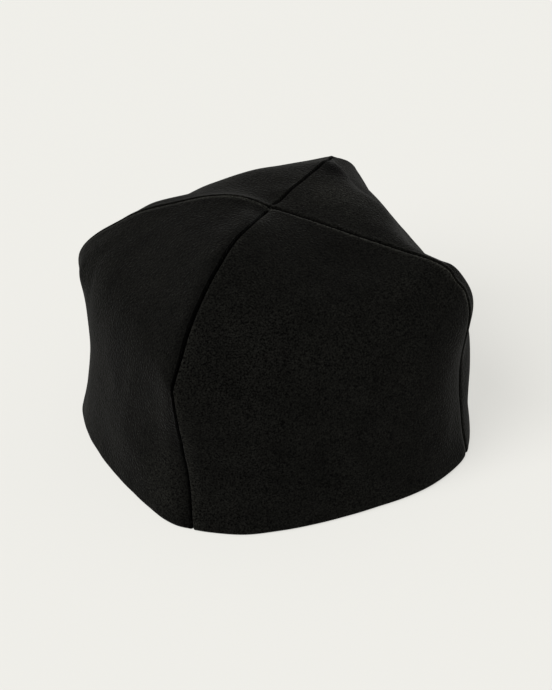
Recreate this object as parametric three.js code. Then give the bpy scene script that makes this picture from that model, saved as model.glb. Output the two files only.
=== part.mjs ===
// A soft felt cap sewn from four gores that meet in a cross at the middle of the crown.
// The four seams run out over the roof to rounded corners and then drop to the hem.
// Millimetres, +Z up. The cap rests on its hem at z = 0, and the widest gore faces -Y.

import * as THREE from 'three';

// Felt, hem and seam sizes
const FELT = 2.2;
const HEM_THICKNESS = 4.2;
const HEM_TURN_UP = 17;
const HEM_ROUNDING = 1.2;
const SEAM_CLEARANCE = 0.3;
const SEAM_ROLL = 2.4;
const SEAM_ALLOWANCE = 3.5;
const HEM_ALLOWANCE = 0.8;

// Where the crown's seams cross, and the point that every radius below is measured from
const MIDDLE = { x: -2.1, y: -3.1 };
const CROWN = { x: -2.3, y: 3.3, z: 118 };

// Stations from the hem up to the crown. A seam's stations give its distance from the middle,
// its height and how many degrees it stands round from the seam's bearing.
const SEAMS = [
  {
    name: 'front_left',
    bearing: 225,
    stations: [
      { name: 'hem', radius: 101, height: 0, turn: -2 },
      { name: 'waist', radius: 99, height: 33, turn: -4.5 },
      { name: 'corner', radius: 111, height: 78, turn: -4.5 },
      { name: 'shoulder', radius: 85, height: 105, turn: -5 },
      { name: 'roof', radius: 56, height: 120, turn: -4.5 },
      { name: 'crest', radius: 27, height: 123, turn: -4 },
    ],
  },
  {
    name: 'front_right',
    bearing: 315,
    stations: [
      { name: 'hem', radius: 95, height: 0, turn: 1 },
      { name: 'waist', radius: 91, height: 46, turn: 5 },
      { name: 'corner', radius: 95, height: 86, turn: 3 },
      { name: 'shoulder', radius: 88, height: 100, turn: 1.5 },
      { name: 'roof', radius: 59, height: 108, turn: 1 },
      { name: 'crest', radius: 27, height: 114, turn: 0.5 },
    ],
  },
  {
    name: 'back_right',
    bearing: 45,
    stations: [
      { name: 'hem', radius: 98, height: 0, turn: -1 },
      { name: 'waist', radius: 93, height: 33, turn: -3 },
      { name: 'corner', radius: 112, height: 86, turn: -2 },
      { name: 'shoulder', radius: 83, height: 109, turn: -1 },
      { name: 'roof', radius: 62, height: 116, turn: -4 },
      { name: 'crest', radius: 23, height: 119, turn: -2.5 },
    ],
  },
  {
    name: 'back_left',
    bearing: 135,
    stations: [
      { name: 'hem', radius: 99, height: 0, turn: 4 },
      { name: 'waist', radius: 91, height: 31, turn: 1.5 },
      { name: 'corner', radius: 101, height: 78, turn: 2 },
      { name: 'shoulder', radius: 78, height: 101, turn: 1.5 },
      { name: 'roof', radius: 53, height: 112, turn: 1 },
      { name: 'crest', radius: 23, height: 121, turn: -0.5 },
    ],
  },
];

// A gore lies between its own seam and the next one, counted anticlockwise from above.
// Its stations give the line halfway between the two, from the hem up to the crown.
const GORES = [
  {
    name: 'panel_front',
    colour: 0x161716,
    stations: [
      { name: 'hem', radius: 88, height: 0 },
      { name: 'waist', radius: 88, height: 42 },
      { name: 'corner', radius: 81, height: 85 },
      { name: 'shoulder', radius: 66, height: 102 },
      { name: 'roof', radius: 44, height: 113 },
      { name: 'crest', radius: 20, height: 117 },
    ],
  },
  {
    name: 'panel_right',
    colour: 0x181818,
    stations: [
      { name: 'hem', radius: 91, height: 0 },
      { name: 'waist', radius: 91, height: 50 },
      { name: 'corner', radius: 75, height: 84 },
      { name: 'shoulder', radius: 56, height: 101 },
      { name: 'roof', radius: 42, height: 113 },
      { name: 'crest', radius: 20, height: 117 },
    ],
  },
  {
    name: 'panel_back',
    colour: 0x191918,
    stations: [
      { name: 'hem', radius: 95, height: 0 },
      { name: 'waist', radius: 88, height: 45 },
      { name: 'corner', radius: 82, height: 86 },
      { name: 'shoulder', radius: 63, height: 103 },
      { name: 'roof', radius: 46, height: 114 },
      { name: 'crest', radius: 20, height: 118 },
    ],
  },
  {
    name: 'panel_left',
    colour: 0x171716,
    stations: [
      { name: 'hem', radius: 88, height: 0 },
      { name: 'waist', radius: 87, height: 40 },
      { name: 'corner', radius: 80, height: 87 },
      { name: 'shoulder', radius: 62, height: 102 },
      { name: 'roof', radius: 44, height: 113 },
      { name: 'crest', radius: 20, height: 117 },
    ],
  },
];

// How full a gore is between its seams: 2 is an even curve, more is flatter with rounder sides.
const FULLNESS = { hem: 3, corner: 2.7, crown: 2 };

// Faceting. Rows are counted between neighbouring stations, columns between the two seams.
const ROWS_BETWEEN_STATIONS = [5, 6, 4, 3, 3, 4];
const COLUMNS = 16;

// The gore's tip stops this far short of the crown's middle.
const TIP_STOP = 1.2;
// Within this distance of the crown's middle the turned-in edges narrow away.
const ALLOWANCE_FADE = { from: 26, to: 12 };
const NARROWEST_ALLOWANCE = 0.12;
// Where a gore gets narrower than this, its inner face goes straight across between its edges.
const NARROW_GORE = { from: 20, to: 9 };

const CROWN_STATION = ROWS_BETWEEN_STATIONS.length;
const FELT_ROUGHNESS = 0.96;

function radians(degrees) {
  return (degrees * Math.PI) / 180;
}

function mix(from, to, share) {
  return from + (to - from) * share;
}

// Rises smoothly from 0 at one limit to 1 at the other.
function ease(value, low, high) {
  const share = Math.min(Math.max((value - low) / (high - low), 0), 1);
  return share * share * (3 - 2 * share);
}

function polar(radius, bearing, height) {
  const angle = radians(bearing);
  return new THREE.Vector3(
    MIDDLE.x + radius * Math.cos(angle),
    MIDDLE.y + radius * Math.sin(angle),
    height,
  );
}

const crownPoint = new THREE.Vector3(MIDDLE.x + CROWN.x, MIDDLE.y + CROWN.y, CROWN.z);

// A smooth line from the hem to the crown. It goes on to the crest on the far side, so that
// it passes level over the crown.
function lineOverCrown(points, farCrest) {
  return new THREE.CatmullRomCurve3([...points, crownPoint, farCrest], false, 'centripetal');
}

function pointOnLine(line, station) {
  return line.getPoint(station / (line.points.length - 1));
}

const seamPoints = SEAMS.map((seam) =>
  seam.stations.map((row) => polar(row.radius, seam.bearing + row.turn, row.height)));

const seamLines = SEAMS.map((seam, index) => {
  const opposite = seamPoints[(index + 2) % SEAMS.length];
  return lineOverCrown(seamPoints[index], opposite[opposite.length - 1]);
});

// Halfway round from one seam to the next, at each station.
const middlePoints = GORES.map((gore, index) => {
  const seam = SEAMS[index];
  const next = SEAMS[(index + 1) % SEAMS.length];
  const halfway = seam.bearing + 45;
  return gore.stations.map((row, station) => {
    const turn = (seam.stations[station].turn + next.stations[station].turn) / 2;
    return polar(row.radius, halfway + turn, row.height);
  });
});

const middleLines = GORES.map((gore, index) => {
  const opposite = middlePoints[(index + 2) % GORES.length];
  return lineOverCrown(middlePoints[index], opposite[opposite.length - 1]);
});

function fullnessAt(station) {
  if (station < 1) return FULLNESS.hem;
  if (station < 2) return mix(FULLNESS.hem, FULLNESS.corner, station - 1);
  if (station < 3) return FULLNESS.corner;
  if (station < 4) return mix(FULLNESS.corner, FULLNESS.crown, station - 3);
  return FULLNESS.crown;
}

// The gore's outer face. across goes from 0 at its own seam to 1 at the next seam.
function outerFace(index, across, station) {
  const start = pointOnLine(seamLines[index], station);
  const end = pointOnLine(seamLines[(index + 1) % SEAMS.length], station);
  const middle = pointOnLine(middleLines[index], station);
  const bulge = middle.sub(start.clone().add(end).multiplyScalar(0.5));
  const share = 1 - Math.pow(Math.abs(2 * across - 1), fullnessAt(station));
  return start.lerp(end, across).addScaledVector(bulge, share);
}

function outwardNormal(index, across, station) {
  const step = 0.002;
  const left = Math.max(across - step, 0);
  const right = Math.min(across + step, 1);
  const low = Math.max(station - step, 0);
  const high = Math.min(station + step, CROWN_STATION);
  const alongRow = outerFace(index, right, station).sub(outerFace(index, left, station));
  const upwards = outerFace(index, across, high).sub(outerFace(index, across, low));
  return alongRow.cross(upwards).normalize();
}

// The directions at a gore's edge: inward runs between the two gores into the cap, aside points
// from the seam's plane into this gore, and along lies on the gore's face away from the seam.
function seamFrame(index, atNextSeam, station) {
  const count = SEAMS.length;
  const across = atNextSeam ? 1 : 0;
  const neighbour = atNextSeam ? (index + 1) % count : (index + count - 1) % count;
  const seam = atNextSeam ? (index + 1) % count : index;
  const step = 0.002;
  const low = Math.max(station - step, 0);
  const high = Math.min(station + step, CROWN_STATION);
  const point = pointOnLine(seamLines[seam], station);
  const upwards = pointOnLine(seamLines[seam], high)
    .sub(pointOnLine(seamLines[seam], low))
    .normalize();
  const ownNormal = outwardNormal(index, across, station);
  const inward = ownNormal
    .clone()
    .add(outwardNormal(neighbour, 1 - across, station))
    .negate();
  inward.addScaledVector(upwards, -inward.dot(upwards)).normalize();
  const aside = upwards.clone().cross(inward);
  const along = upwards.clone().cross(ownNormal);
  if (atNextSeam) {
    along.negate();
  } else {
    aside.negate();
  }
  return { point, inward, aside, along, across };
}

// How thick the felt is: two layers where the hem is turned up, one above it.
function thicknessAt(height) {
  return mix(HEM_THICKNESS, FELT, ease(height, HEM_TURN_UP, HEM_TURN_UP + 3));
}

// One edge of a gore at a station: the face rolls over into the turned-in edge, which runs
// inwards beside the neighbour's and stands a little off the inner face.
function edgePoints(index, atNextSeam, station, outerDepth, innerDepth, width) {
  const frame = seamFrame(index, atNextSeam, station);
  const slope = Math.max(frame.along.dot(frame.aside), 0.35);
  const lean = frame.along.dot(frame.inward);
  const fromCrown = frame.point.distanceTo(crownPoint);
  const fade = ease(fromCrown, ALLOWANCE_FADE.to, ALLOWANCE_FADE.from);
  const open = Math.max(fade, NARROWEST_ALLOWANCE);
  const roll = Math.min(SEAM_ROLL, width * 0.2);
  const half = SEAM_CLEARANCE / 2;

  const place = (aside, inward) => frame.point
    .clone()
    .addScaledVector(frame.aside, aside)
    .addScaledVector(frame.inward, inward);

  const edgeDepth = outerDepth / slope;
  const innerAside = half + open * FELT;
  const innerAlong = (innerAside + lean * innerDepth) / slope;
  const innerInward = slope * innerDepth + lean * innerAlong;
  const height = frame.point.z;
  const stand = mix(HEM_ALLOWANCE, SEAM_ALLOWANCE, ease(height, HEM_TURN_UP, HEM_TURN_UP + 8));
  const tipInward = innerInward + open * stand;

  return {
    faceStart: roll / width,
    innerStart: Math.min(innerAlong / width, 0.42),
    rollMiddle: place(half + (slope * roll) / 4, edgeDepth + (roll * (1 + lean)) / 4),
    edgeTop: place(half, edgeDepth + roll),
    tipOuter: place(half, tipInward),
    tipInner: place(innerAside, tipInward),
    innerCorner: place(innerAside, innerInward),
  };
}

// The points round a gore at one station: one edge, the outer face, the other edge, and the
// inner face back again.
function sectionAt(index, station, rounding) {
  const start = outerFace(index, 0, station);
  const width = start.distanceTo(outerFace(index, 1, station));
  const height = outerFace(index, 0.5, station).z;
  const outerDepth = rounding;
  const innerDepth = thicknessAt(height) - rounding;
  const own = edgePoints(index, false, station, outerDepth, innerDepth, width);
  const next = edgePoints(index, true, station, outerDepth, innerDepth, width);
  const straight = 1 - ease(width, NARROW_GORE.to, NARROW_GORE.from);
  const outer = [];
  const inner = [];
  for (let column = 0; column <= COLUMNS; column += 1) {
    const share = column / COLUMNS;
    const outerAcross = mix(own.faceStart, 1 - next.faceStart, share);
    const innerAcross = mix(own.innerStart, 1 - next.innerStart, share);
    outer.push(outerFace(index, outerAcross, station)
      .addScaledVector(outwardNormal(index, outerAcross, station), -outerDepth));
    inner.push(outerFace(index, innerAcross, station)
      .addScaledVector(outwardNormal(index, innerAcross, station), -innerDepth)
      .lerp(own.innerCorner.clone().lerp(next.innerCorner, share), straight));
  }
  inner[0] = own.innerCorner;
  inner[COLUMNS] = next.innerCorner;
  return [
    own.tipInner,
    own.tipOuter,
    own.edgeTop,
    own.rollMiddle,
    ...outer,
    next.rollMiddle,
    next.edgeTop,
    next.tipOuter,
    next.tipInner,
    ...inner.reverse(),
  ];
}

// The stations of a gore's rows. The hem has a row for its rounding, and the last row stops
// just short of the crown's middle.
function rowStations() {
  const hemRow = HEM_ROUNDING / SEAMS[0].stations[1].height;
  const rows = [0, hemRow];
  ROWS_BETWEEN_STATIONS.forEach((count, station) => {
    for (let row = station === 0 ? 1 : 0; row < count; row += 1) {
      rows.push(station + row / count);
    }
  });
  const crest = pointOnLine(seamLines[0], CROWN_STATION - 1);
  rows.push(CROWN_STATION - TIP_STOP / crest.distanceTo(crownPoint));
  return rows;
}

// Triangles over the end of a gore, between its outer and inner face.
function endTriangles(sectionSize) {
  const outer = (column) => 4 + column;
  const inner = (column) => sectionSize - 1 - column;
  const triangles = [];
  for (let step = 0; step < 4; step += 1) {
    triangles.push([inner(0), step, step + 1]);
    triangles.push([inner(COLUMNS), outer(COLUMNS) + step, outer(COLUMNS) + step + 1]);
  }
  for (let column = 0; column < COLUMNS; column += 1) {
    triangles.push([outer(column), outer(column + 1), inner(column + 1)]);
    triangles.push([outer(column), inner(column + 1), inner(column)]);
  }
  return triangles;
}

// A closed body lofted through the sections of one gore. Its two halves have mirrored triangles,
// so that the facets of two neighbours match across a seam.
function goreGeometry(index) {
  const rows = rowStations();
  const sections = rows.map((station, row) => sectionAt(index, station, row === 0 ? HEM_ROUNDING : 0));
  sections[0].forEach((point) => point.setZ(0));
  sections[1].forEach((point) => point.setZ(HEM_ROUNDING));
  const size = sections[0].length;
  const top = (sections.length - 1) * size;
  const triangles = [];
  const firstMirrored = 4 + COLUMNS / 2;
  const endMirrored = size - 1 - COLUMNS / 2;
  for (let row = 0; row + 1 < sections.length; row += 1) {
    for (let step = 0; step < size; step += 1) {
      const low = row * size + step;
      const lowNext = row * size + ((step + 1) % size);
      if (step >= firstMirrored && step < endMirrored) {
        triangles.push([low, lowNext, low + size]);
        triangles.push([lowNext, lowNext + size, low + size]);
      } else {
        triangles.push([low, lowNext, lowNext + size]);
        triangles.push([low, lowNext + size, low + size]);
      }
    }
  }
  for (const [first, second, third] of endTriangles(size)) {
    triangles.push([first, third, second]);
    triangles.push([top + first, top + second, top + third]);
  }
  const geometry = new THREE.BufferGeometry();
  const positions = sections.flat().flatMap((point) => point.toArray());
  geometry.setAttribute('position', new THREE.Float32BufferAttribute(positions, 3));
  geometry.setIndex(triangles.flat());
  geometry.computeVertexNormals();
  return geometry;
}

function feltMaterial(colour) {
  return new THREE.MeshStandardMaterial({ color: colour, roughness: FELT_ROUGHNESS, metalness: 0 });
}

const group = new THREE.Group();
GORES.forEach((gore, index) => {
  const mesh = new THREE.Mesh(goreGeometry(index), feltMaterial(gore.colour));
  mesh.name = gore.name;
  group.add(mesh);
});

export default group;
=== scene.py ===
"""A soft black felt cap, sewn from four gores that meet in a cross on the crown.

Each gore is one sheet of thick brushed felt: it is cut as a flat grid, given its thickness, and
shaped over the head form, with its long edges turned in along the seams and its hem turned up.
Lengths are in metres, unless a name or a comment says millimetres, and HALF_GORE is the degrees
from a seam's bearing to the middle of a gore.
"""

import logging
import math
from dataclasses import dataclass, field
from enum import IntEnum

import bpy
import numpy as np
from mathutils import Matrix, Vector

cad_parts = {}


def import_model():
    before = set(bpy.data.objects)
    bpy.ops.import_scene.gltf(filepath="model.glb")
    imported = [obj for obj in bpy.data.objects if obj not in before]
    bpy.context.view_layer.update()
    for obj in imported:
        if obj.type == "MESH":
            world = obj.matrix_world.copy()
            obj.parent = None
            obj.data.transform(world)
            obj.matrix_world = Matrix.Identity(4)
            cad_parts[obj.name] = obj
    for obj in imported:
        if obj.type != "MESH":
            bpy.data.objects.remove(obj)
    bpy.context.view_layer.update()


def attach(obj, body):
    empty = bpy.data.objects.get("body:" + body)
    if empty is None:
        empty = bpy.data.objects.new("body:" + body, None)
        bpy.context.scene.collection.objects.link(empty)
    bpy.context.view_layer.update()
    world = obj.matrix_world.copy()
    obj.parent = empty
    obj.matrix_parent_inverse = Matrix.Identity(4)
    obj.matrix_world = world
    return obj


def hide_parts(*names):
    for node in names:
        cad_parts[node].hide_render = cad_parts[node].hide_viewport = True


log = logging.getLogger("felt_cap")

MM = 0.001
HALF_GORE = 45


class Gore(IntEnum):
    """The four gores, counted anticlockwise from above. Each starts at the seam of its own number."""

    FRONT = 0
    RIGHT = 1
    BACK = 2
    LEFT = 3


class Station(IntEnum):
    """The heights at which the pattern's lines are given, from the hem up to the crown."""

    HEM = 0
    WAIST = 1
    CORNER = 2
    SHOULDER = 3
    ROOF = 4
    CREST = 5
    CROWN = 6


@dataclass(frozen=True)
class SeamPoint:
    """A point of a seam.

    radius and height are millimetres out from the middle and up, and turn is degrees round from
    the seam's bearing. gap is how wide the seam's groove gapes and roll is how far its two lips
    round over, both in millimetres.
    """

    radius: float
    height: float
    turn: float
    gap: float
    roll: float


@dataclass(frozen=True)
class MiddlePoint:
    """A point halfway between a gore's two seams: millimetres out from the middle and up."""

    radius: float
    height: float


@dataclass(frozen=True)
class SeamPlan:
    """A seam's bearing in degrees, and its points from the hem to the crest."""

    bearing: float
    points: tuple[SeamPoint, ...]


@dataclass(frozen=True)
class GorePlan:
    """The part's node that a gore stands for, and its middle points from the hem to the crest."""

    node: str
    middle: tuple[MiddlePoint, ...]


MIDDLE = np.array([-2.1, -3.1, 0.0]) * MM
CROWN = np.array([-3.3, -0.3, 118.0]) * MM
HEAD_MIDDLE = np.array([-2.1, -3.1, 50.0]) * MM

SEAMS = (
    # The front left seam.
    SeamPlan(225, (
        SeamPoint(radius=101, height=0, turn=-2, gap=1.1, roll=1.2),
        SeamPoint(radius=99, height=33, turn=-4.5, gap=1.2, roll=1.4),
        SeamPoint(radius=111, height=78, turn=-4.5, gap=1.7, roll=1.8),
        SeamPoint(radius=85, height=105, turn=-5, gap=2.1, roll=2.2),
        SeamPoint(radius=56, height=120, turn=-4.5, gap=2, roll=2),
        SeamPoint(radius=27, height=123, turn=-4, gap=2, roll=1.6),
    )),
    # The front right seam.
    SeamPlan(315, (
        SeamPoint(radius=95, height=0, turn=3.5, gap=0.1, roll=0.6),
        SeamPoint(radius=91, height=46, turn=5, gap=0.6, roll=1.3),
        SeamPoint(radius=95, height=86, turn=3, gap=0.8, roll=1.3),
        SeamPoint(radius=88, height=100, turn=1.5, gap=0.9, roll=1),
        SeamPoint(radius=59, height=108, turn=1, gap=0.9, roll=0.8),
        SeamPoint(radius=27, height=114, turn=0.5, gap=0.8, roll=0.8),
    )),
    # The back right seam.
    SeamPlan(45, (
        SeamPoint(radius=98, height=0, turn=-1, gap=0.5, roll=1.2),
        SeamPoint(radius=93, height=33, turn=-3, gap=0.6, roll=1.2),
        SeamPoint(radius=112, height=86, turn=-2, gap=1, roll=1.4),
        SeamPoint(radius=83, height=109, turn=-1, gap=1.5, roll=1.4),
        SeamPoint(radius=62, height=116, turn=-4, gap=1.8, roll=1.4),
        SeamPoint(radius=23, height=119, turn=-2.5, gap=2, roll=1.3),
    )),
    # The back left seam.
    SeamPlan(135, (
        SeamPoint(radius=99, height=0, turn=4, gap=0.5, roll=1.2),
        SeamPoint(radius=91, height=31, turn=1.5, gap=0.5, roll=1.2),
        SeamPoint(radius=101, height=78, turn=2, gap=0.5, roll=0.9),
        SeamPoint(radius=78, height=101, turn=1.5, gap=0.5, roll=0.8),
        SeamPoint(radius=53, height=112, turn=1, gap=0.4, roll=0.7),
        SeamPoint(radius=23, height=121, turn=-0.5, gap=0.3, roll=0.5),
    )),
)

GORES = (
    GorePlan("panel_front", (
        MiddlePoint(radius=88, height=0),
        MiddlePoint(radius=88, height=42),
        MiddlePoint(radius=81, height=85),
        MiddlePoint(radius=66, height=102),
        MiddlePoint(radius=44, height=111.5),
        MiddlePoint(radius=20, height=116),
    )),
    GorePlan("panel_right", (
        MiddlePoint(radius=91, height=0),
        MiddlePoint(radius=91, height=50),
        MiddlePoint(radius=75, height=84),
        MiddlePoint(radius=56, height=101),
        MiddlePoint(radius=42, height=113),
        MiddlePoint(radius=20, height=117),
    )),
    GorePlan("panel_back", (
        MiddlePoint(radius=95, height=0),
        MiddlePoint(radius=88, height=45),
        MiddlePoint(radius=82, height=86),
        MiddlePoint(radius=63, height=103),
        MiddlePoint(radius=46, height=114),
        MiddlePoint(radius=20, height=118),
    )),
    GorePlan("panel_left", (
        MiddlePoint(radius=88, height=0),
        MiddlePoint(radius=87, height=40),
        MiddlePoint(radius=80, height=87),
        MiddlePoint(radius=62, height=102),
        MiddlePoint(radius=44, height=114.5),
        MiddlePoint(radius=20, height=120),
    )),
)


@dataclass(frozen=True)
class Fullness:
    """How full a gore is between its seams: 2 is an even curve, more is flatter with rounder sides."""

    hem: float = 3.0
    corner: float = 2.7
    crown: float = 2.0

    def at(self, station: np.ndarray) -> np.ndarray:
        """Works out the fullness at each height.

        Args:
            station: 0 at the hem to 6 at the crown.

        Returns:
            the fullness at each station.
        """
        values = {
            Station.HEM: self.hem,
            Station.WAIST: self.hem,
            Station.CORNER: self.corner,
            Station.SHOULDER: self.corner,
            Station.ROOF: self.crown,
            Station.CROWN: self.crown,
        }
        return np.interp(station, list(values), list(values.values()))


@dataclass(frozen=True)
class Dent:
    """A soft dent or swelling in the felt.

    It is centred on a gore at a share across it and a station. wide and tall are how far it
    reaches to each side and up and down, in millimetres, and rise is how far its middle stands
    out, in millimetres, or in where it is negative.
    """

    gore: Gore
    across: float
    station: float
    wide: float
    tall: float
    rise: float


@dataclass(frozen=True)
class PaintedLightPatch:
    """A patch of painted light: a painted highlight where it adds, painted shade where it takes away.

    It is placed as a dent is. wide and tall are how far it reaches in millimetres, and the last
    value is what it adds to the felt's painted-light factor of 1.
    """

    gore: Gore
    across: float
    station: float
    wide: float
    tall: float
    shade: float


@dataclass(frozen=True)
class SeamShift:
    """Where the stitching pulls a seam off its smooth line.

    reach is how many stations it acts over. aside is towards the seam's own gore and out is away
    from the head, both in millimetres.
    """

    seam: Gore
    station: float
    reach: float
    aside: float
    out: float


@dataclass(frozen=True)
class Lip:
    """How a gore's edge swells or sinks beside a seam, and its painted highlight or shade there.

    rise is how far it stands out, or in where it is negative, from_seam is where that is most and
    reach is how far it spreads from there, all in millimetres. The last value is the painted light
    that it adds to the felt's factor of 1: a painted highlight above 0, painted shade below 0.
    """

    gore: Gore
    at_next_seam: bool
    rise: float
    from_seam: float
    reach: float
    shade: float


SEAM_SHIFTS = (
    SeamShift(Gore.FRONT, station=1.1, reach=0.2, aside=-0.5, out=0),
    SeamShift(Gore.FRONT, station=1.65, reach=0.3, aside=0.6, out=0),
    SeamShift(Gore.FRONT, station=2.0, reach=0.12, aside=-0.4, out=0.2),
    SeamShift(Gore.FRONT, station=2.42, reach=0.3, aside=0.7, out=0),
    SeamShift(Gore.FRONT, station=4.5, reach=0.5, aside=-0.6, out=0),
    SeamShift(Gore.RIGHT, station=2.7, reach=0.75, aside=-1.5, out=-2.6),
    SeamShift(Gore.RIGHT, station=1.95, reach=0.4, aside=-0.3, out=-1.1),
    SeamShift(Gore.BACK, station=5.6, reach=0.5, aside=0, out=-0.9),
    SeamShift(Gore.BACK, station=3.8, reach=0.6, aside=0, out=-1.0),
    SeamShift(Gore.LEFT, station=5.5, reach=0.6, aside=0, out=0.7),
    SeamShift(Gore.LEFT, station=2.8, reach=0.9, aside=-0.8, out=-1.1),
)

DENTS = (
    Dent(Gore.BACK, across=0.745, station=3.52, wide=10, tall=16, rise=-1.4),
    Dent(Gore.BACK, across=0.39, station=3.66, wide=26, tall=22, rise=1.2),
    Dent(Gore.BACK, across=0.89, station=3.28, wide=9, tall=12, rise=0.9),
    Dent(Gore.RIGHT, across=0.87, station=2.15, wide=10, tall=14, rise=-1.0),
    Dent(Gore.RIGHT, across=0.14, station=0.35, wide=14, tall=13, rise=-1.2),
    Dent(Gore.RIGHT, across=0.10, station=1.85, wide=11, tall=18, rise=5.0),
    Dent(Gore.RIGHT, across=0.11, station=2.6, wide=10, tall=12, rise=4.0),
    Dent(Gore.RIGHT, across=0.52, station=3.2, wide=30, tall=15, rise=5.0),
    Dent(Gore.RIGHT, across=0.88, station=3.75, wide=14, tall=13, rise=2.2),
    Dent(Gore.FRONT, across=0.55, station=0, wide=85, tall=13, rise=1.0),
    Dent(Gore.FRONT, across=0.97, station=0, wide=16, tall=12, rise=1.5),
    Dent(Gore.FRONT, across=0.12, station=0, wide=22, tall=12, rise=1.8),
    Dent(Gore.FRONT, across=0.64, station=3.8, wide=38, tall=28, rise=-2.6),
    Dent(Gore.LEFT, across=0.9, station=0, wide=20, tall=18, rise=1.9),
    Dent(Gore.LEFT, across=0.5, station=0, wide=34, tall=15, rise=1.0),
    Dent(Gore.LEFT, across=0.96, station=0, wide=14, tall=14, rise=0.9),
    Dent(Gore.LEFT, across=0.12, station=1.8, wide=10, tall=12, rise=1.6),
    Dent(Gore.LEFT, across=0.24, station=1.9, wide=7, tall=20, rise=-0.7),
)

# The rise shapes the felt. The last value is painted light: a painted highlight along lips that catch the
# light, and painted shade beside the front left seam's groove.
LIPS = (
    Lip(Gore.FRONT, at_next_seam=False, rise=-0.8, from_seam=0, reach=3.0, shade=0.8),
    Lip(Gore.FRONT, at_next_seam=True, rise=-0.6, from_seam=0, reach=2.0, shade=5.0),
    Lip(Gore.LEFT, at_next_seam=True, rise=-1.2, from_seam=0, reach=4.5, shade=-0.7),
    Lip(Gore.LEFT, at_next_seam=False, rise=-0.4, from_seam=0, reach=2.0, shade=4.6),
    Lip(Gore.BACK, at_next_seam=True, rise=0.2, from_seam=1.6, reach=1.6, shade=0.3),
    Lip(Gore.RIGHT, at_next_seam=False, rise=0.2, from_seam=1.5, reach=2.0, shade=0.2),
)

# Patches of painted light on the felt's colour: painted highlight where the last value is above 0, painted
# shade where it is below 0.
PAINTED_LIGHT_PATCHES = (
    PaintedLightPatch(Gore.BACK, across=0.93, station=3.9, wide=13, tall=28, shade=-0.7),
    PaintedLightPatch(Gore.FRONT, across=0.65, station=4.3, wide=30, tall=26, shade=-0.3),
    PaintedLightPatch(Gore.FRONT, across=0.3, station=0.8, wide=22, tall=26, shade=-0.15),
    PaintedLightPatch(Gore.RIGHT, across=0.6, station=4.4, wide=24, tall=26, shade=0.9),
    PaintedLightPatch(Gore.RIGHT, across=0.87, station=3.95, wide=14, tall=15, shade=-1.0),
    PaintedLightPatch(Gore.RIGHT, across=0.82, station=2.85, wide=9, tall=13, shade=-1.0),
    PaintedLightPatch(Gore.LEFT, across=0.6, station=1.5, wide=15, tall=26, shade=-0.8),
    PaintedLightPatch(Gore.LEFT, across=0.8, station=1.6, wide=15, tall=20, shade=-0.3),
    PaintedLightPatch(Gore.LEFT, across=0.9, station=0.5, wide=18, tall=34, shade=0.8),
    PaintedLightPatch(Gore.LEFT, across=0.5, station=4.4, wide=22, tall=20, shade=-0.3),
)


@dataclass(frozen=True)
class Waves:
    """Soft unevenness of the felt: waves of about one length that run in many directions.

    shortest and longest say how much each wave's own length may differ, as shares of length.
    """

    length: float
    height: float
    count: int
    seed: int
    shortest: float = 0.75
    longest: float = 1.35

    def rise(self, points: np.ndarray) -> np.ndarray:
        """Adds the waves up.

        Args:
            points: points of the form.

        Returns:
            how far the waves lift each of the points.
        """
        chance = np.random.default_rng(self.seed)
        directions = chance.normal(size=(self.count, 3))
        directions /= np.linalg.norm(directions, axis=1, keepdims=True)
        phases = chance.uniform(0, 2 * math.pi, self.count)
        lengths = self.length * chance.uniform(self.shortest, self.longest, self.count)
        total = np.zeros(points.shape[:-1])
        for direction, phase, length in zip(directions, phases, lengths):
            total += np.sin(points @ direction * (2 * math.pi / length) + phase)
        return self.height * total / math.sqrt(self.count)


FELT_WAVES = (
    Waves(length=46 * MM, height=0.18 * MM, count=9, seed=3),
    Waves(length=15 * MM, height=0.07 * MM, count=14, seed=5),
)


@dataclass(frozen=True)
class FeltSizes:
    """The felt's thickness, its hem and its turned-in seam edges.

    Each value that ends in _share keeps a lip, a groove or an allowance small where the gore
    narrows to its tip: it is a share of the gore's width there, apart from groove_share and
    stitch_share, which are shares of the allowance's own width and depth. hem_allowance_end and
    seam_allowance_start are how far below the turn-up's top the short allowance behind it ends
    and the full one is reached. fade_start and fade_end are how far from the crown the allowance
    starts to narrow and is narrowest. hem_crowding is the share of its height to which a row above
    the fold may sink.
    """

    thickness: float = 2.2 * MM
    hem_thickness: float = 4.3 * MM
    hem_turn_up: float = 17 * MM
    hem_cut_edge: float = 1.4 * MM
    hem_rounding: float = 1.8 * MM
    hem_crowding: float = 0.3
    seam_overlap: float = 0.1 * MM
    stitch_depth: float = 2.4 * MM
    stitch_share: float = 0.75
    shortest_turn_in: float = 0.1 * MM
    seam_allowance: float = 3.5 * MM
    hem_allowance: float = 0.8 * MM
    hem_allowance_end: float = 8 * MM
    seam_allowance_start: float = 1 * MM
    tip_stop: float = 0.12 * MM
    fade_start: float = 5 * MM
    fade_end: float = 1.5 * MM
    narrowest_allowance: float = 0.12
    allowance_share: float = 0.35
    corner_share: float = 0.42
    gap_share: float = 0.18
    groove_share: float = 0.6
    roll_share: float = 0.2
    flattest_slope: float = 0.35
    narrow_gore: float = 20 * MM
    narrowest_gore: float = 9 * MM
    # The lowest that the painted-light factor may fall to under painted shade.
    darkest_painted_light: float = 0.05

    def thickness_at(self, height: np.ndarray) -> np.ndarray:
        """Returns the felt's thickness: two layers where the hem is turned up, one above it."""
        share = ease(height, self.hem_turn_up, self.hem_turn_up + self.hem_cut_edge)
        return self.hem_thickness + (self.thickness - self.hem_thickness) * share


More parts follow.
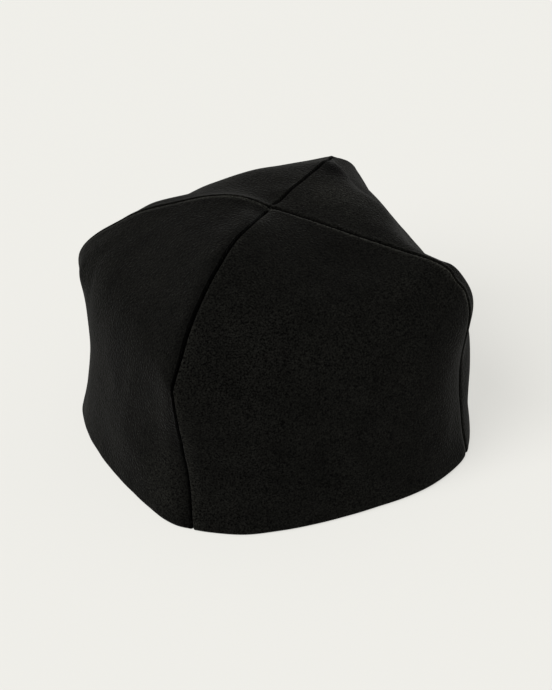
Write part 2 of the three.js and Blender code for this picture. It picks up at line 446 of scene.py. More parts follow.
@dataclass(frozen=True)
class GridSizes:
    """How finely a gore's sheet is divided.

    turned_in, roll and face are columns, from each cut edge over the lip and across the face.
    face_crowding draws the face's columns together towards the seams, and edge_crowding draws
    the turned-in ones together towards the lip. samples is at how many places a seam is measured.
    """

    turned_in: int = 6
    roll: int = 8
    face: int = 128
    face_crowding: float = 0.55
    edge_crowding: float = 1.5
    rounding_rows: int = 6
    row_height: float = 1.15 * MM
    cut_edge_row: float = 0.35 * MM
    cut_edge_margin: float = 0.5 * MM
    samples: int = 6001

    @property
    def columns(self) -> int:
        """The columns of the whole sheet, from one turned-in edge to the other."""
        return 2 * (self.turned_in + self.roll) + self.face

    def spread(self) -> np.ndarray:
        """Returns how far across the face its columns stand: 0 at its own lip to 1 at the next."""
        share = np.linspace(0, 1, self.face + 1)
        return share + self.face_crowding * np.sin(2 * math.pi * share) / (-2 * math.pi)


def ease(value: np.ndarray, low: float | np.ndarray, high: float | np.ndarray) -> np.ndarray:
    """Returns 0 below low and 1 above high, with a smooth rise between them."""
    share = np.clip((value - low) / (high - low), 0.0, 1.0)
    return share * share * (3 - 2 * share)


def unit(vectors: np.ndarray) -> np.ndarray:
    """Returns the vectors, each made one long."""
    return vectors / np.maximum(np.linalg.norm(vectors, axis=-1, keepdims=True), 1e-12)


def dot(first: np.ndarray, second: np.ndarray) -> np.ndarray:
    """Returns the dot product of each pair of vectors."""
    return np.sum(first * second, axis=-1)


def polar(radius: float, bearing: float, height: float) -> np.ndarray:
    """Finds a point round the cap's middle.

    Args:
        radius: millimetres out from the middle.
        bearing: degrees anticlockwise from +X.
        height: millimetres up.

    Returns:
        the point.
    """
    angle = math.radians(bearing)
    offset = np.array([radius * math.cos(angle), radius * math.sin(angle), height])
    return MIDDLE + offset * MM


class SmoothLine:
    """A centripetal Catmull-Rom line through its points."""

    def __init__(self, points: np.ndarray) -> None:
        """Keeps the points, with one more beyond each end.

        Args:
            points: the points that the line goes through.
        """
        before = 2 * points[0] - points[1]
        after = 2 * points[-1] - points[-2]
        self.points = np.vstack([before, points, after])

    def at(self, station: np.ndarray) -> np.ndarray:
        """Follows the line.

        Args:
            station: how far along, where the line's own points are 0, 1, 2 and so on.

        Returns:
            the points of the line at the stations.
        """
        span = np.clip(np.floor(station).astype(int), 0, len(self.points) - 4)
        share = (station - span)[..., None]
        before, start, end, after = (self.points[span + step] for step in range(4))
        first, middle, last = (
            np.sqrt(np.linalg.norm(right - left, axis=-1, keepdims=True))
            for left, right in ((before, start), (start, end), (end, after))
        )
        straight = (end - start) / middle
        leaving = (start - before) / first - (end - before) / (first + middle) + straight
        arriving = straight - (after - start) / (middle + last) + (after - end) / last
        leaving = leaving * middle
        arriving = arriving * middle
        bend = -3 * start + 3 * end - 2 * leaving - arriving
        twist = 2 * start - 2 * end + leaving + arriving
        return start + share * (leaving + share * (bend + share * twist))


@dataclass(frozen=True)
class PlacedMark:
    """A dent or a patch in its place on the form, in metres.

    wide, tall and deep are how far it reaches along the face, up it and through it, and strength
    is what it adds at its middle.
    """

    centre: np.ndarray
    sideways: np.ndarray
    upwards: np.ndarray
    wide: float
    tall: float
    deep: float
    strength: float

    def at(self, points: np.ndarray) -> np.ndarray:
        """Works out what the mark adds.

        Args:
            points: points of the form.

        Returns:
            what it adds at each point, which fades away round its middle.
        """
        offset = points - self.centre
        side = offset @ self.sideways / self.wide
        up = offset @ self.upwards / self.tall
        through = offset @ np.cross(self.sideways, self.upwards) / self.deep
        return self.strength * np.exp(-2 * (side * side + up * up + through * through))


class HeadForm:
    """The cap's outer form: four seam lines, and four full gores between them.

    The steps are how far apart two places are taken to find a direction, in stations or in shares
    across a gore. mark_depth is how far a dent or a patch reaches through the form, as a share of
    how far it reaches along it.
    """

    station_step: float = 0.002
    across_step: float = 0.01
    pull_step: float = 0.01
    mark_depth: float = 1.5

    def __init__(self, fullness: Fullness, waves: tuple[Waves, ...]) -> None:
        """Works the seam lines and the gores' middle lines out from the pattern's tables.

        Args:
            fullness: how full the gores are between their seams.
            waves: the unevenness of the felt.
        """
        self.fullness = fullness
        self.waves = waves
        seams = [
            [polar(point.radius, seam.bearing + point.turn, point.height) for point in seam.points]
            for seam in SEAMS
        ]
        middles = []
        for gore, plan in enumerate(GORES):
            own, following = SEAMS[gore], SEAMS[(gore + 1) % 4]
            middles.append([
                polar(point.radius, own.bearing + HALF_GORE + (left.turn + right.turn) / 2, point.height)
                for point, left, right in zip(plan.middle, own.points, following.points)
            ])
        self.seams = [self._over_crown(seams, line) for line in range(4)]
        self.middles = [self._over_crown(middles, line) for line in range(4)]
        self.dents = [self._placed(dent, dent.rise * MM) for dent in DENTS]
        # The patches of painted highlight and painted shade, placed on the form.
        self.patches = [self._placed(patch, patch.shade) for patch in PAINTED_LIGHT_PATCHES]

    @staticmethod
    def _over_crown(lines: list[list[np.ndarray]], line: int) -> SmoothLine:
        """Returns a line from the hem over the crown to the crest of the opposite line."""
        return SmoothLine(np.array([*lines[line], CROWN, lines[(line + 2) % 4][-1]]))

    def seam(self, seam: int, station: np.ndarray) -> np.ndarray:
        """Follows a seam, with the stitching's pulls.

        Args:
            seam: which seam, by the number of the gore that starts there.
            station: 0 at the hem to 6 at the crown.

        Returns:
            the points of the seam at the stations.
        """
        line = self.seams[seam]
        points = line.at(station)
        upwards = unit(line.at(station + self.pull_step) - line.at(station - self.pull_step))
        out = points - HEAD_MIDDLE
        out = unit(out - upwards * dot(out, upwards)[..., None])
        aside = np.cross(upwards, out)
        for shift in SEAM_SHIFTS:
            if shift.seam == seam:
                share = np.exp(-2 * ((station - shift.station) / shift.reach) ** 2)[..., None]
                points = points + (aside * shift.aside + out * shift.out) * MM * share
        return points

    def face(self, gore: int, across: np.ndarray, station: np.ndarray) -> np.ndarray:
        """Follows a gore's smooth outer face.

        Args:
            gore: which gore.
            across: 0 at its own seam to 1 at the next seam.
            station: 0 at the hem to 6 at the crown.

        Returns:
            the points of the face.
        """
        start = self.seam(gore, station)
        end = self.seam((gore + 1) % 4, station)
        middle = self.middles[gore].at(station)
        share = 1 - np.abs(2 * across - 1) ** self.fullness.at(station)
        flat = start + (end - start) * across[..., None]
        return flat + (middle - (start + end) / 2) * share[..., None]

    def outward(self, gore: int, across: np.ndarray, station: np.ndarray) -> np.ndarray:
        """Finds the way out of a gore's smooth outer face.

        Args:
            gore: which gore.
            across: 0 at its own seam to 1 at the next seam.
            station: 0 at the hem to 6 at the crown.

        Returns:
            the direction straight out at each place.
        """
        step = self.station_step
        left, right = np.maximum(across - step, 0), np.minimum(across + step, 1)
        low, high = np.maximum(station - step, 0), np.minimum(station + step, Station.CROWN)
        along_row = self.face(gore, right, station) - self.face(gore, left, station)
        upwards = self.face(gore, across, high) - self.face(gore, across, low)
        return unit(np.cross(along_row, upwards))

    def _placed(self, mark: Dent | PaintedLightPatch, strength: float) -> PlacedMark:
        """Puts a dent or a patch in its place on the smooth face.

        Args:
            mark: the dent or the patch.
            strength: what it adds at its middle.

        Returns:
            the mark in its place.
        """
        across, station = np.array([mark.across]), np.array([float(mark.station)])
        centre = self.face(mark.gore, across, station)[0]
        out = self.outward(mark.gore, across, station)[0]
        sideways = self.face(mark.gore, across + self.across_step, station)[0] - centre
        sideways = unit(sideways - out * float(sideways @ out))
        upwards = np.cross(out, sideways)
        deep = max(mark.wide, mark.tall) * self.mark_depth * MM
        return PlacedMark(centre, sideways, upwards, mark.wide * MM, mark.tall * MM, deep, strength)

    def rise(self, points: np.ndarray) -> np.ndarray:
        """Adds the waves and the dents up.

        Args:
            points: points of the form.

        Returns:
            how far they lift the form at each point.
        """
        total = np.zeros(points.shape[:-1])
        for wave in self.waves:
            total += wave.rise(points)
        for dent in self.dents:
            total += dent.at(points)
        return total

    def shade(self, points: np.ndarray) -> np.ndarray:
        """Adds the patches of painted highlight and painted shade up.

        Args:
            points: points of the form.

        Returns:
            the factor of painted light at each point: 1 where nothing is painted.
        """
        total = np.ones(points.shape[:-1])
        for patch in self.patches:
            total += patch.at(points)
        return total


@dataclass(frozen=True)
class Grain:
    """A noise over the felt: its lumps to a metre, its detail, and the values it runs between."""

    per_metre: float
    detail: float
    low: float
    high: float
    roughness: float = 0.6
    usual_low: float = 0.3
    usual_high: float = 0.7


CLOUDS = Grain(per_metre=75, detail=3, low=0.8, high=1.2)
FIBRES = Grain(per_metre=1300, detail=2, low=-0.4, high=2.4)
RELIEF = Grain(per_metre=800, detail=1, low=0, high=1)


class NapGroup:
    """The shared node group for the felt's fibre grain, cloudy tone and painted light."""

    name: str = "felt_nap"

    def tree(self) -> bpy.types.NodeTree:
        """Finds the group, or makes it at its first use.

        Returns:
            the group: it turns the object's own place, a colour and a shade into the felt's
            colour there and the height of its relief.
        """
        made = bpy.data.node_groups.get(self.name)
        if made:
            return made
        group = bpy.data.node_groups.new(self.name, "ShaderNodeTree")
        sockets = (
            ("Place", "INPUT", "NodeSocketVector"),
            ("Colour", "INPUT", "NodeSocketColor"),
            ("Shade", "INPUT", "NodeSocketFloat"),
            ("Colour", "OUTPUT", "NodeSocketColor"),
            ("Height", "OUTPUT", "NodeSocketFloat"),
        )
        for socket, way, kind in sockets:
            group.interface.new_socket(socket, in_out=way, socket_type=kind)
        links = group.links
        given = group.nodes.new("NodeGroupInput")
        result = group.nodes.new("NodeGroupOutput")
        place = given.outputs["Place"]
        clouded = self._times(group, self._noise(group, place, CLOUDS), self._noise(group, place, FIBRES))
        # The colour is scaled by the painted light: painted highlights and painted shade.
        level = self._times(group, clouded, given.outputs["Shade"])
        shaded = group.nodes.new("ShaderNodeVectorMath")
        shaded.operation = "SCALE"
        links.new(given.outputs["Colour"], shaded.inputs[0])
        links.new(level, shaded.inputs["Scale"])
        links.new(shaded.outputs[0], result.inputs["Colour"])
        links.new(self._noise(group, place, RELIEF), result.inputs["Height"])
        return group

    @staticmethod
    def _noise(group: bpy.types.NodeTree, place: bpy.types.NodeSocket, grain: Grain) -> bpy.types.NodeSocket:
        """Adds a noise, spread between its two values.

        Args:
            group: the group to add it to.
            place: the place that it is read at.
            grain: the noise's sizes and values.

        Returns:
            the socket with its value.
        """
        texture = group.nodes.new("ShaderNodeTexNoise")
        texture.inputs["Scale"].default_value = grain.per_metre
        texture.inputs["Detail"].default_value = grain.detail
        texture.inputs["Roughness"].default_value = grain.roughness
        group.links.new(place, texture.inputs["Vector"])
        mapped = group.nodes.new("ShaderNodeMapRange")
        mapped.inputs["From Min"].default_value = grain.usual_low
        mapped.inputs["From Max"].default_value = grain.usual_high
        mapped.inputs["To Min"].default_value = grain.low
        mapped.inputs["To Max"].default_value = grain.high
        group.links.new(texture.outputs["Fac"], mapped.inputs["Value"])
        return mapped.outputs[0]

    @staticmethod
    def _times(
        group: bpy.types.NodeTree, first: bpy.types.NodeSocket, second: bpy.types.NodeSocket
    ) -> bpy.types.NodeSocket:
        """Adds a node that multiplies two values.

        Args:
            group: the group to add it to.
            first: the socket of the first value.
            second: the socket of the second value.

        Returns:
            the socket of their product.
        """
        product = group.nodes.new("ShaderNodeMath")
        product.operation = "MULTIPLY"
        group.links.new(first, product.inputs[0])
        group.links.new(second, product.inputs[1])
        return product.outputs[0]


@dataclass(frozen=True)
class FeltFinish:
    """Matte black wool felt with a brushed, faintly cloudy nap."""

    name: str = "black_felt"
    colour: tuple[float, float, float] = (0.0040, 0.0040, 0.0035)
    roughness: float = 0.95
    specular: float = 0.04
    sheen: float = 0.058
    sheen_roughness: float = 0.25
    relief: float = 0.24 * MM

    def material(self) -> bpy.types.Material:
        """Finds the finish's material, or makes it at its first use.

        Returns:
            the material, which reads each vertex's painted light into its colour.
        """
        made = bpy.data.materials.get(self.name)
        if made:
            return made
        material = bpy.data.materials.new(self.name)
        material.use_nodes = True
        nodes, links = material.node_tree.nodes, material.node_tree.links
        shader = nodes["Principled BSDF"]
        shader.inputs["Base Color"].default_value = (*self.colour, 1)
        shader.inputs["Roughness"].default_value = self.roughness
        shader.inputs["Specular IOR Level"].default_value = self.specular
        shader.inputs["Sheen Weight"].default_value = self.sheen
        shader.inputs["Sheen Roughness"].default_value = self.sheen_roughness
        coordinates = nodes.new("ShaderNodeTexCoord")
        # Each vertex's painted light, painted highlight above 1 and painted shade below 1, scales the colour.
        shade = nodes.new("ShaderNodeAttribute")
        shade.attribute_name = "shade"
        nap = nodes.new("ShaderNodeGroup")
        nap.node_tree = NapGroup().tree()
        nap.inputs["Colour"].default_value = (*self.colour, 1)
        links.new(coordinates.outputs["Object"], nap.inputs["Place"])
        links.new(shade.outputs["Fac"], nap.inputs["Shade"])
        links.new(nap.outputs["Colour"], shader.inputs["Base Color"])
        bump = nodes.new("ShaderNodeBump")
        bump.inputs["Strength"].default_value = 1
        bump.inputs["Distance"].default_value = self.relief
        links.new(nap.outputs["Height"], bump.inputs["Height"])
        links.new(bump.outputs["Normal"], shader.inputs["Normal"])
        return material


@dataclass
class RowPlan:
    """What each row of a gore's sheet is like, from the hem's fold to the tip.

    width is how far the two seams are from each other. rounding is how far the outer face draws
    in at the hem's fold, and inner_depth is how deep the felt's inner side lies.
    """

    stations: np.ndarray
    height: np.ndarray
    width: np.ndarray
    rounding: np.ndarray
    inner_depth: np.ndarray


@dataclass
class SeamEdge:
    """One edge of a gore at a seam, row by row.

    inward points into the cap and aside points into the gore. slope and lean say how the gore's
    face runs from the seam: by how much it goes aside and by how much it goes inward. groove is
    half of how wide the seam gapes, and roll is how far the lip rounds over.
    """

    at_next_seam: bool
    points: np.ndarray
    inward: np.ndarray
    aside: np.ndarray
    slope: np.ndarray
    lean: np.ndarray
    groove: np.ndarray
    roll: np.ndarray

    def place(self, aside: np.ndarray, inward: np.ndarray) -> np.ndarray:
        """Returns points beside the seam, a distance into the gore and a distance into the cap."""
        return self.points + self.aside * aside[:, None] + self.inward * inward[:, None]


@dataclass
class Allowance:
    """The inner side of a turned-in edge, row by row.

    aside is how far it stands from the seam, corner is how deep it leaves the gore's inner face
    and tip is how deep its cut edge is. start is the share across the gore of its corner.
    """

    edge: SeamEdge
    aside: np.ndarray
    corner: np.ndarray
    tip: np.ndarray
    start: np.ndarray


@dataclass
class GorePiece:
    """One gore of the cap: cut as a flat sheet, thickened, shaped and sewn to its neighbours."""

    gore: Gore
    form: HeadForm
    felt: FeltSizes = field(default_factory=FeltSizes)
    grid: GridSizes = field(default_factory=GridSizes)

    @property
    def node(self) -> str:
        """The part's node that this gore stands for."""
        return GORES[self.gore].node

    def make(self, finishes: tuple[FeltFinish, FeltFinish]) -> bpy.types.Object:
        """Cuts, shapes and dresses the gore.

        Args:
            finishes: the brushed felt, and the painted shade for inside the seams' grooves.

        Returns:
            the finished gore, which rides on the part in place of its plain node.
        """
        stations = self._rows()
        sheet = self._cut_sheet(len(stations))
        self._shape(sheet, stations)
        sheet.data.materials.clear()
        for felt in finishes:
            sheet.data.materials.append(felt.material())
        self._paint_groove_shade(sheet.data, len(stations))
        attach(sheet, "root")
        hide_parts(self.node)
        log.info("%s: %d faces", sheet.name, len(sheet.data.polygons))
        return sheet

    def _rows(self) -> np.ndarray:
        """Spaces the rows out: close together round the hem's fold and at its cut edge.

        Returns:
            the rows' stations.
        """
        fine = np.linspace(0, Station.CROWN, self.grid.samples)
        line = self.form.seam(self.gore, fine)
        length = np.concatenate([[0], np.cumsum(np.linalg.norm(np.diff(line, axis=0), axis=1))])
        turn = np.linspace(0, math.pi / 2, self.grid.rounding_rows + 1)
        fold = self.felt.hem_rounding * (1 - np.cos(turn))
        cut_edge = self.felt.hem_turn_up - self.grid.cut_edge_margin
        cut_edge_end = self.felt.hem_turn_up + self.felt.hem_cut_edge + self.grid.cut_edge_margin
        last = length[-1] - self.felt.tip_stop
        spans = (
            (fold[-1], cut_edge, self.grid.row_height),
            (cut_edge, cut_edge_end, self.grid.cut_edge_row),
            (cut_edge_end, last, self.grid.row_height),
        )
        lengths = [fold[:-1]]
        for start, end, step in spans:
            lengths.append(np.linspace(start, end, max(round((end - start) / step), 1) + 1)[:-1])
        lengths.append([last])
        return np.interp(np.concatenate(lengths), length, fine)

    def _cut_sheet(self, rows: int) -> bpy.types.Object:
        """Adds the flat sheet and gives it its thickness.

        Args:
            rows: how many rows of vertices it has.

        Returns:
            the sheet, whose first half of vertices is its outer side and second half its inner.
        """
        bpy.ops.object.select_all(action="DESELECT")
        bpy.ops.mesh.primitive_grid_add(
            x_subdivisions=self.grid.columns, y_subdivisions=rows - 1, size=1, calc_uvs=True)
        sheet = bpy.context.object
        sheet.name = f"felt_{self.gore.name.lower()}"
        sheet.data.name = sheet.name
        thicken = sheet.modifiers.new("felt thickness", "SOLIDIFY")
        thicken.thickness = self.felt.thickness
        thicken.offset = -1
        bpy.ops.object.modifier_apply(modifier=thicken.name)
        return sheet

    def _shape(self, sheet: bpy.types.Object, stations: np.ndarray) -> None:
        """Lays the sheet's outer and inner side over the form, row by row.

        Args:
            sheet: the flat sheet.
            stations: the rows' stations.
        """
        rows = self._row_plan(stations)
        allowances = [self._allowance(self._edge(at_next, rows), rows) for at_next in (False, True)]
        across, outer_face = self._outer_face(rows, allowances)
        columns = self.grid.columns + 1
        edge_columns = self.grid.turned_in + self.grid.roll
        outer = np.zeros((len(stations), columns, 3))
        inner = np.zeros((len(stations), columns, 3))
        outer[:, edge_columns:columns - edge_columns] = outer_face
        inner[:, edge_columns:columns - edge_columns] = self._inner_face(rows, allowances)
        for allowance in allowances:
            self._turn_in(allowance, rows, outer, inner)
        self._press_hem(rows, outer, inner)
        both = np.concatenate([outer.reshape(-1, 3), inner.reshape(-1, 3)])
        sheet.data.vertices.foreach_set("co", both.ravel())
        self._map(sheet.data, outer)
        self._paint_light(sheet.data, both, across, rows.width)
        sheet.data.update()
        self._smooth(sheet)

    def _row_plan(self, stations: np.ndarray) -> RowPlan:
        """Works out each row's height, width and depths.

        Args:
            stations: the rows' stations.

        Returns:
            the rows' plan.
        """
        height = self.form.face(self.gore, np.full(len(stations), 0.5), stations)[:, 2]
        fold_share = np.clip(1 - height / self.felt.hem_rounding, 0, 1)
        rounding = self.felt.hem_rounding * (1 - np.sqrt(np.maximum(1 - fold_share ** 2, 0)))
        inner_depth = self.felt.thickness_at(height) - rounding
        return RowPlan(stations, height, self._width(stations), rounding, inner_depth)

    def _width(self, stations: np.ndarray) -> np.ndarray:
        """Returns how far the gore's two seams are from each other at each station."""
        start = self.form.seam(self.gore, stations)
        return np.linalg.norm(self.form.seam((self.gore + 1) % 4, stations) - start, axis=-1)

    def _edge(self, at_next_seam: bool, rows: RowPlan) -> SeamEdge:
        """Finds the seam line and its directions along one edge of the gore.

        Args:
            at_next_seam: False for the gore's own seam, True for the next one.
            rows: the rows' plan.

        Returns:
            the edge.
        """
        stations = rows.stations
        seam = (self.gore + 1) % 4 if at_next_seam else int(self.gore)
        neighbour = (self.gore + 1) % 4 if at_next_seam else (self.gore + 3) % 4
        across = np.full(len(stations), 1.0 if at_next_seam else 0.0)
        low = np.maximum(stations - self.form.station_step, 0)
        high = np.minimum(stations + self.form.station_step, Station.CROWN)
        upwards = unit(self.form.seam(seam, high) - self.form.seam(seam, low))
        own_normal = self.form.outward(self.gore, across, stations)
        inward = -(own_normal + self.form.outward(neighbour, 1 - across, stations))
        inward = unit(inward - upwards * dot(inward, upwards)[:, None])
        aside = np.cross(upwards, inward)
        along = np.cross(upwards, own_normal)
        if at_next_seam:
            along = -along
        else:
            aside = -aside
        points = self.form.seam(seam, stations)
        points = points - inward * self.form.rise(points)[:, None]
        slope = np.maximum(dot(along, aside), self.felt.flattest_slope)
        plan = SEAMS[seam].points
        gap = np.interp(stations, range(len(plan)), [point.gap for point in plan]) * MM
        roll = np.interp(stations, range(len(plan)), [point.roll for point in plan]) * MM
        groove = np.minimum(gap / 2, rows.width * self.felt.gap_share)
        roll = np.minimum(roll, rows.width * self.felt.roll_share)
        return SeamEdge(at_next_seam, points, inward, aside, slope, dot(along, inward), groove, roll)

    def _allowance(self, edge: SeamEdge, rows: RowPlan) -> Allowance:
        """Works out where the inner side of a turned-in edge stands.

        Args:
            edge: the edge at its seam.
            rows: the rows' plan.

        Returns:
            the allowance, which narrows towards the crown and is short behind the hem's turn-up.
        """
        felt = self.felt
        from_crown = np.linalg.norm(edge.points - CROWN, axis=1)
        opened = np.maximum(ease(from_crown, felt.fade_end, felt.fade_start), felt.narrowest_allowance)
        aside = opened * felt.thickness - felt.seam_overlap / 2
        aside = np.minimum(aside, rows.width * felt.allowance_share)
        along = (aside + edge.lean * rows.inner_depth) / edge.slope
        corner = edge.slope * rows.inner_depth + edge.lean * along
        short_end = felt.hem_turn_up - felt.hem_allowance_end
        full_start = felt.hem_turn_up - felt.seam_allowance_start
        above_hem = ease(edge.points[:, 2], short_end, full_start)
        stand = felt.hem_allowance + (felt.seam_allowance - felt.hem_allowance) * above_hem
        start = np.minimum(along / rows.width, felt.corner_share)
        return Allowance(edge, aside, corner, corner + opened * stand, start)

    def _outer_face(self, rows: RowPlan, allowances: list[Allowance]) -> tuple[np.ndarray, np.ndarray]:
        """Lays the outer side between the gore's two lips.

        Args:
            rows: the rows' plan.
            allowances: the turned-in edges, whose lips the face runs between.

        Returns:
            each point's share across the gore, and the points.
        """
        own_roll, next_roll = (allowance.edge.roll for allowance in allowances)
        face_width = 1 - (own_roll + next_roll) / rows.width
        across = (own_roll / rows.width)[:, None] + face_width[:, None] * self.grid.spread()[None, :]
        return across, self._lay(across, rows.stations, rows.rounding)

    def _inner_face(self, rows: RowPlan, allowances: list[Allowance]) -> np.ndarray:
        """Lays the inner side between its two corners, straight across where the gore is narrow.

        Args:
            rows: the rows' plan.
            allowances: the turned-in edges at the face's two corners.

        Returns:
            the points.
        """
        own, following = allowances
        spread = self.grid.spread()
        across = own.start[:, None] + (1 - own.start - following.start)[:, None] * spread[None, :]
        face = self._lay(across, rows.stations, rows.inner_depth)
        first = own.edge.place(own.aside, own.corner)
        last = following.edge.place(following.aside, following.corner)
        chord = first[:, None] + (last - first)[:, None] * spread[None, :, None]
        straight = 1 - ease(rows.width, self.felt.narrowest_gore, self.felt.narrow_gore)
        face += (chord - face) * straight[:, None, None]
        face[:, 0] = first
        face[:, -1] = last
        return face

    def _turn_in(self, allowance: Allowance, rows: RowPlan, outer: np.ndarray, inner: np.ndarray) -> None:
        """Rolls one edge over its lip and turns it in along the seam.

        Args:
            allowance: the turned-in edge.
            rows: the rows' plan.
            outer: the points of the sheet's outer side, whose edge columns are filled in.
            inner: the points of its inner side, likewise.
        """
        edge, felt, turned = allowance.edge, self.felt, self.grid.turned_in
        edge_columns = turned + self.grid.roll
        closed_gap = -felt.seam_overlap / 2
        open_gap = np.minimum(edge.groove + closed_gap, allowance.aside * felt.groove_share)
        depth = (rows.rounding - self._lips(edge.at_next_seam, np.zeros(1))[0]) / edge.slope
        top_depth = depth + edge.roll
        turn_in = allowance.tip - top_depth
        stitched = np.maximum(turn_in, felt.shortest_turn_in) * felt.stitch_share
        stitched = np.minimum(felt.stitch_depth, stitched)
        top = edge.place(open_gap, top_depth)
        turn = edge.place(open_gap, depth)
        lip = outer[:, -1 - edge_columns if edge.at_next_seam else edge_columns].copy()
        tip = edge.place(allowance.aside, allowance.tip)
        corner = edge.place(allowance.aside, allowance.corner)
        for step in range(edge_columns):
            column = -1 - step if edge.at_next_seam else step
            if step <= turned:
                sunk = top_depth + turn_in * (1 - step / turned) ** self.grid.edge_crowding
                closed = ease(sunk - top_depth, 0, stitched)
                outer[:, column] = edge.place(open_gap + (closed_gap - open_gap) * closed, sunk)
            else:
                bend = (step - turned) / self.grid.roll
                outer[:, column] = (1 - bend) ** 2 * top + 2 * bend * (1 - bend) * turn + bend ** 2 * lip
            inner[:, column] = tip + (corner - tip) * (step / edge_columns)

    def _press_hem(self, rows: RowPlan, outer: np.ndarray, inner: np.ndarray) -> None:
        """Presses the hem's fold level, so that the cap rests flat and nothing hangs below it.

        Args:
            rows: the rows' plan.
            outer: the points of the sheet's outer side.
            inner: the points of its inner side.
        """
        rounding = self.felt.hem_rounding
        above_fold = rounding + self.felt.hem_crowding * (rows.height - rounding)
        lowest = np.minimum(rows.height, above_fold)
        in_fold = rows.height < rounding
        for side in (outer, inner):
            side[:, :, 2] = np.maximum(side[:, :, 2], lowest[:, None])
            side[in_fold, :, 2] = rows.height[in_fold, None]
            side[0, :, 2] = 0.0

    def _lips(self, at_next_seam: bool, distance: np.ndarray) -> tuple[np.ndarray, np.ndarray]:
        """Works out how far the gore stands out beside a seam, and its painted light there.

        Args:
            at_next_seam: False for the gore's own seam, True for the next one.
            distance: how far each point is from that seam.

        Returns:
            the rise and the painted light at each point.
        """
        rise, shade = np.zeros_like(distance), np.zeros_like(distance)
        for lip in LIPS:
            if lip.gore == self.gore and lip.at_next_seam == at_next_seam:
                share = np.exp(-(((distance / MM - lip.from_seam) / lip.reach) ** 2))
                rise += lip.rise * MM * share
                shade += lip.shade * share
        return rise, shade

    def _lay(self, across: np.ndarray, stations: np.ndarray, depth: np.ndarray) -> np.ndarray:
        """Lays rows of points over the gore's uneven face.

        Args:
            across: each point's share across the gore, row by row.
            stations: the rows' stations.
            depth: how deep each row lies under the face.

        Returns:
            the points.
        """
        station = np.repeat(stations[:, None], across.shape[1], axis=1)
        points = self.form.face(self.gore, across, station)
        out = self.form.outward(self.gore, across, station)
        width = self._width(stations)[:, None]
        rise = self.form.rise(points)
        rise += self._lips(False, across * width)[0] + self._lips(True, (1 - across) * width)[0]
        return points + out * (rise - depth[:, None])[..., None]

    def _paint_light(self, mesh: bpy.types.Mesh, points: np.ndarray, across: np.ndarray, width: np.ndarray) -> None:
        """Notes each vertex's painted light: the patches', and on the outer side the lips'.

        Args:
            mesh: the gore's mesh.
            points: the points of its outer and then its inner side.
            across: the outer face's shares across the gore.
            width: how wide the gore is at each row.
        """
        turned = self.grid.turned_in
        edge_columns = turned + self.grid.roll
        columns = self.grid.columns + 1
        across_sheet = np.zeros((len(width), columns))
        across_sheet[:, edge_columns:columns - edge_columns] = across
        across_sheet[:, columns - edge_columns:] = 1
        from_own = across_sheet * width[:, None]
        # Painted highlight and painted shade of the lips, kept off the turned-in columns, which carry the
        # grooves' painted shade.
        lip_painted_light = self._lips(False, from_own)[1] + self._lips(True, width[:, None] - from_own)[1]
        lip_painted_light[:, :turned] = 0
        lip_painted_light[:, columns - turned:] = 0
        levels = self.form.shade(points)
        levels[:lip_painted_light.size] += lip_painted_light.ravel()
        # The "shade" attribute holds the painted light, which the felt's material scales its colour by.
        shade = mesh.attributes.new("shade", "FLOAT", "POINT")
        shade.data.foreach_set("value", np.maximum(levels, self.felt.darkest_painted_light))

    @staticmethod
    def _map(mesh: bpy.types.Mesh, outer: np.ndarray) -> None:
        """Gives the sheet a map in metres, across it and up it, for the lie of the felt's fibres.

        Args:
            mesh: the gore's mesh.
            outer: the points of its outer side, row by row.
        """
        rows, columns = outer.shape[:2]
        across = np.zeros((rows, columns))
        across[:, 1:] = np.cumsum(np.linalg.norm(np.diff(outer, axis=1), axis=2), axis=1)
        across -= across[:, columns // 2][:, None]
        up = np.zeros((rows, columns))
        up[1:] = np.cumsum(np.linalg.norm(np.diff(outer, axis=0), axis=2), axis=0)
        up[:] = up[:, columns // 2][:, None]
        flat = np.stack([across, up], axis=-1).reshape(-1, 2)
        corners = np.zeros(len(mesh.loops), dtype=np.int32)
        mesh.loops.foreach_get("vertex_index", corners)
        mesh.uv_layers.active.data.foreach_set("uv", flat[corners % len(flat)].ravel())

    @staticmethod
    def _smooth(sheet: bpy.types.Object) -> None:
        """Turns the sheet's faces outwards and shades them smooth.

        Args:
            sheet: the shaped sheet.
        """
        bpy.ops.object.select_all(action="DESELECT")
        sheet.select_set(True)
        bpy.context.view_layer.objects.active = sheet
        bpy.ops.object.mode_set(mode="EDIT")
        bpy.ops.mesh.select_all(action="SELECT")
        bpy.ops.mesh.normals_make_consistent(inside=False)
        bpy.ops.object.mode_set(mode="OBJECT")
        bpy.ops.object.shade_smooth()

    def _paint_groove_shade(self, mesh: bpy.types.Mesh, rows: int) -> None:
        """Gives the turned-in edges' outer side the second finish, the grooves' painted shade.

        Args:
            mesh: the gore's mesh.
            rows: how many rows of vertices it has.
        """
        columns = self.grid.columns + 1
        for polygon in mesh.polygons:
            corners = list(polygon.vertices)
            if max(corners) < rows * columns:
                from_side = [min(corner % columns, columns - 1 - corner % columns) for corner in corners]
                polygon.material_index = int(max(from_side) <= self.grid.turned_in)


@dataclass(frozen=True)
class SoftLight:
    """A wide soft light: its strength, and its width, bearing and elevation in degrees."""

    name: str
    strength: float
    width: float
    bearing: float
    elevation: float

    def add(self) -> bpy.types.Object:
        """Adds the light, which shines the same everywhere.

        Returns:
            the lamp.
        """
        sun = bpy.data.lights.new(self.name, "SUN")
        sun.energy = self.strength
        sun.angle = math.radians(self.width)
        lamp = bpy.data.objects.new(self.name, sun)
        bpy.context.collection.objects.link(lamp)
        around, up = math.radians(self.bearing), math.radians(self.elevation)
        towards = Vector((math.cos(around) * math.cos(up), math.sin(around) * math.cos(up), math.sin(up)))
        lamp.rotation_mode = "QUATERNION"
        lamp.rotation_quaternion = towards.to_track_quat("Z", "Y")
        return lamp


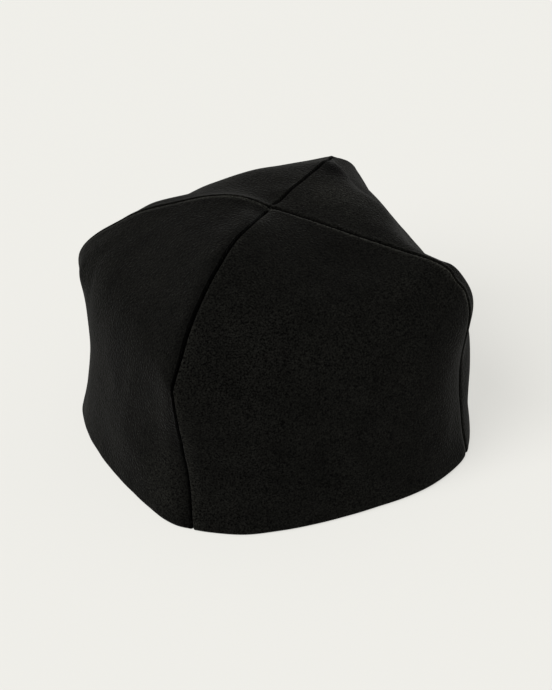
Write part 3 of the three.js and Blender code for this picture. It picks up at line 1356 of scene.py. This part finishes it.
@dataclass(frozen=True)
class Studio:
    """A plain pale floor under an even pale light, and the camera at the photograph's angle."""

    pale: tuple[float, float, float] = (0.871, 0.863, 0.823)
    floor_size: float = 12.0
    floor_below: float = 0.2 * MM
    floor_glow: float = 0.725
    floor_paint: float = 0.09
    side_light: SoftLight = SoftLight("side_light", strength=1.0, width=40, bearing=200, elevation=40)
    shadow_light: SoftLight = SoftLight("shadow_light", strength=9.5, width=44, bearing=203, elevation=40)
    camera_place: tuple[float, float, float] = (-0.43555, -0.93343, 0.62299)
    camera_elevation: float = 29.4
    camera_azimuth: float = -25.0
    focal_pixels: float = 2443
    image_height: float = 690
    film: float = 36

    def build(self) -> None:
        """Makes the floor, the lights, the world and the camera."""
        floor = self._floor()
        self.side_light.add()
        on_floor = bpy.data.collections.new("floor_only")
        on_floor.objects.link(floor)
        self.shadow_light.add().light_linking.receiver_collection = on_floor
        world = bpy.data.worlds.new("pale_room")
        world.use_nodes = True
        world.node_tree.nodes["Background"].inputs["Color"].default_value = (*self.pale, 1)
        bpy.context.scene.world = world
        self._camera()
        bpy.context.scene.view_settings.view_transform = "Standard"
        log.info("studio ready")

    def _floor(self) -> bpy.types.Object:
        """Adds the floor, which glows as a lit white floor does and shows the cap's shadow.

        Returns:
            the floor.
        """
        bpy.ops.object.select_all(action="DESELECT")
        bpy.ops.mesh.primitive_plane_add(size=self.floor_size, location=(0, 0, -self.floor_below))
        floor = bpy.context.object
        floor.name = "floor"
        material = bpy.data.materials.new("pale_floor")
        material.use_nodes = True
        shader = material.node_tree.nodes["Principled BSDF"]
        shader.inputs["Base Color"].default_value = (*(level * self.floor_paint for level in self.pale), 1)
        shader.inputs["Roughness"].default_value = 1
        shader.inputs["Specular IOR Level"].default_value = 0
        shader.inputs["Emission Color"].default_value = (*self.pale, 1)
        shader.inputs["Emission Strength"].default_value = self.floor_glow
        floor.data.materials.append(material)
        return floor

    def _camera(self) -> None:
        """Places the camera where the photograph was taken from."""
        film = bpy.data.cameras.new("camera")
        film.sensor_width = self.film
        film.lens = self.focal_pixels / self.image_height * self.film
        camera = bpy.data.objects.new("camera", film)
        bpy.context.collection.objects.link(camera)
        camera.location = self.camera_place
        tilt = math.radians(90 - self.camera_elevation)
        camera.rotation_euler = (tilt, 0, math.radians(self.camera_azimuth))
        bpy.context.scene.camera = camera


def main() -> None:
    """Builds the cap and its studio."""
    logging.basicConfig(level=logging.INFO, format="%(message)s")
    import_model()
    form = HeadForm(Fullness(), FELT_WAVES)
    # The second finish is painted shade: near-black felt without sheen, for the dark inside the seams'
    # grooves.
    finishes = (FeltFinish(), FeltFinish(name="groove_painted_shade", colour=(0.0010, 0.0010, 0.0009), sheen=0))
    for gore in Gore:
        GorePiece(gore, form).make(finishes)
    Studio().build()


if __name__ == "__main__":
    main()
